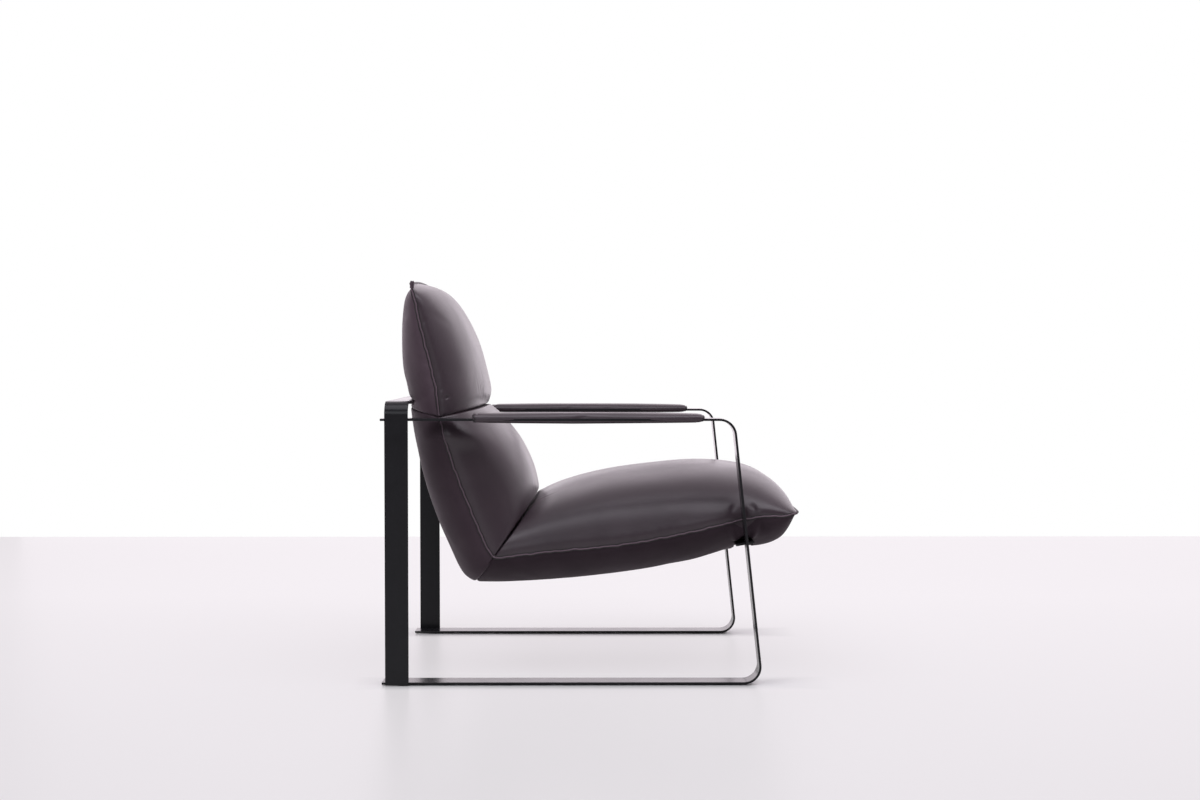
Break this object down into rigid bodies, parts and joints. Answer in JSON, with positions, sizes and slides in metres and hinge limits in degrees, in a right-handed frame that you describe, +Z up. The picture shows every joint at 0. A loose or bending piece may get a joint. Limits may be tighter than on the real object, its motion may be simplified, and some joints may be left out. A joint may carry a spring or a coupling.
{
  "type": "lounge chair",
  "caption": "Low lounge chair: a padded leather sling of head, back and seat cushions hung in a frame of bent flat steel bar, with leather pads on the arms",
  "frame": {"origin": "On the floor, under the middle of the chair's width and depth", "axes": "+Z up; the sitter faces -Y; +X is the sitter's left"},
  "size_m": [0.68, 0.898, 0.867],
  "materials": {
    "powder_coat": "semi-gloss black powder coat on flat steel bar",
    "inner_steel": "plain black painted round bar, hidden in the cushions",
    "leather": "smooth semi-matt dark espresso leather with a fine grain",
    "foam": "open polyurethane foam, hidden in the arm pads",
    "webbing": "woven elastic webbing, hidden in the cushions",
    "zinc": "bright zinc plating",
    "glide": "matt black rubber pad"
  },
  "bodies": {
    "root": {"rear_frame": "powder_coat", "side_loop_left": "powder_coat", "side_loop_right": "powder_coat", "front_crossbar": "powder_coat", "glide_rear_left": "glide", "glide_middle_left": "glide", "glide_front_left": "glide", "glide_rear_right": "glide", "glide_middle_right": "glide", "glide_front_right": "glide", "hanger_tab_left": "powder_coat", "hanger_tab_right": "powder_coat", "rear_screw_left": "zinc", "rear_screw_right": "zinc", "front_spacer_left": "zinc", "front_spacer_right": "zinc", "front_screw_left": "zinc", "front_screw_right": "zinc", "inner_rail_left": "inner_steel", "inner_rail_right": "inner_steel", "head_cross_rod": "inner_steel", "lumbar_cross_rod": "inner_steel", "corner_cross_rod": "inner_steel", "front_cross_rod": "inner_steel", "head_belt_1": "webbing", "head_belt_2": "webbing", "back_belt_1": "webbing", "back_belt_2": "webbing", "back_belt_3": "webbing", "seat_belt_1": "webbing", "seat_belt_2": "webbing", "seat_belt_3": "webbing", "seat_belt_4": "webbing", "head_cushion": "leather", "back_cushion": "leather", "seat_cushion": "leather", "arm_pad_foam_left": "foam", "arm_pad_foam_right": "foam", "arm_pad_sleeve_left": "leather", "arm_pad_sleeve_right": "leather"}
  },
  "joints": []
}
